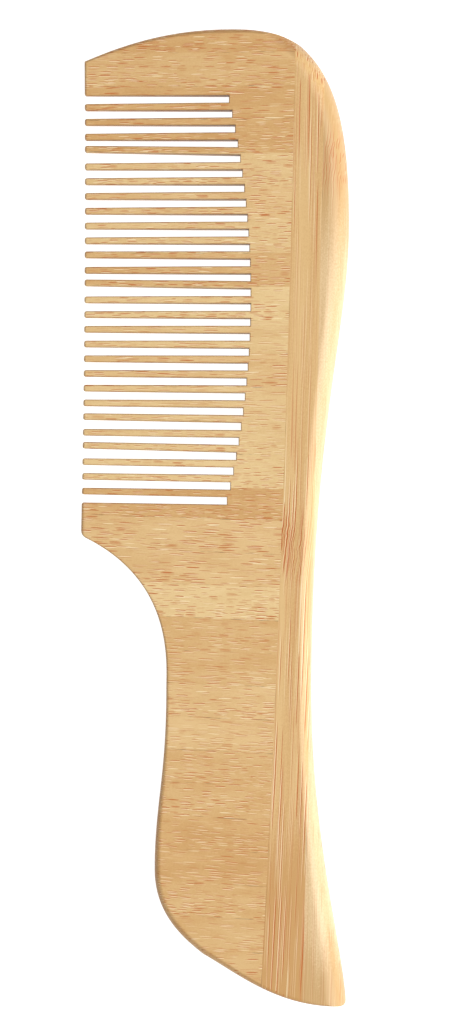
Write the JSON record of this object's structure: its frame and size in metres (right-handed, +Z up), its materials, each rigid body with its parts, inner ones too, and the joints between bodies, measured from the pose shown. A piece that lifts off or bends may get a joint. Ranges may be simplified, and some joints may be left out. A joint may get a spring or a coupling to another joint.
{
  "type": "wide tooth comb",
  "caption": "Flat handled comb of laminated bamboo, with wide-spaced teeth along one side and a thick rounded back.",
  "frame": {"origin": "on the surface the comb lies on, under the middle of its bounding box", "axes": "+Y from the tail to the head, -X towards the tooth tips and +X towards the rounded back, +Z up out of the upper face"},
  "size_m": [0.055, 0.2, 0.0099],
  "materials": {
    "bamboo_dark": "sanded smooth and lightly oiled, satin",
    "bamboo_tan": "sanded smooth and lightly oiled, satin",
    "bamboo_mid": "sanded smooth and lightly oiled, satin",
    "bamboo_light": "sanded smooth and lightly oiled, satin",
    "bamboo_pale": "sanded smooth and lightly oiled, satin",
    "spine_inner": "sanded smooth and lightly oiled, satin",
    "spine_outer": "sanded smooth and lightly oiled, satin"
  },
  "bodies": {
    "root": {"crown_slat": "bamboo_dark", "guard_slat": "bamboo_tan", "tooth_slat_01": "bamboo_dark", "tooth_slat_02": "bamboo_dark", "tooth_slat_03": "bamboo_light", "tooth_slat_04": "bamboo_mid", "tooth_slat_05": "bamboo_light", "tooth_slat_06": "bamboo_tan", "tooth_slat_07": "bamboo_pale", "tooth_slat_08": "bamboo_light", "tooth_slat_09": "bamboo_mid", "tooth_slat_10": "bamboo_light", "tooth_slat_11": "bamboo_light", "tooth_slat_12": "bamboo_pale", "heel_slat": "bamboo_dark", "handle_slat_01": "bamboo_mid", "handle_slat_02": "bamboo_mid", "handle_slat_03": "bamboo_pale", "handle_slat_04": "bamboo_tan", "handle_slat_05": "bamboo_tan", "handle_slat_06": "bamboo_mid", "handle_slat_07": "bamboo_mid", "handle_slat_08": "bamboo_tan", "handle_slat_09": "bamboo_tan", "handle_slat_10": "bamboo_dark", "handle_slat_11": "bamboo_dark", "handle_slat_12": "bamboo_tan", "handle_slat_13": "bamboo_tan", "tail_slat": "bamboo_tan", "spine_inner": "spine_inner", "spine_outer": "spine_outer"}
  },
  "joints": []
}
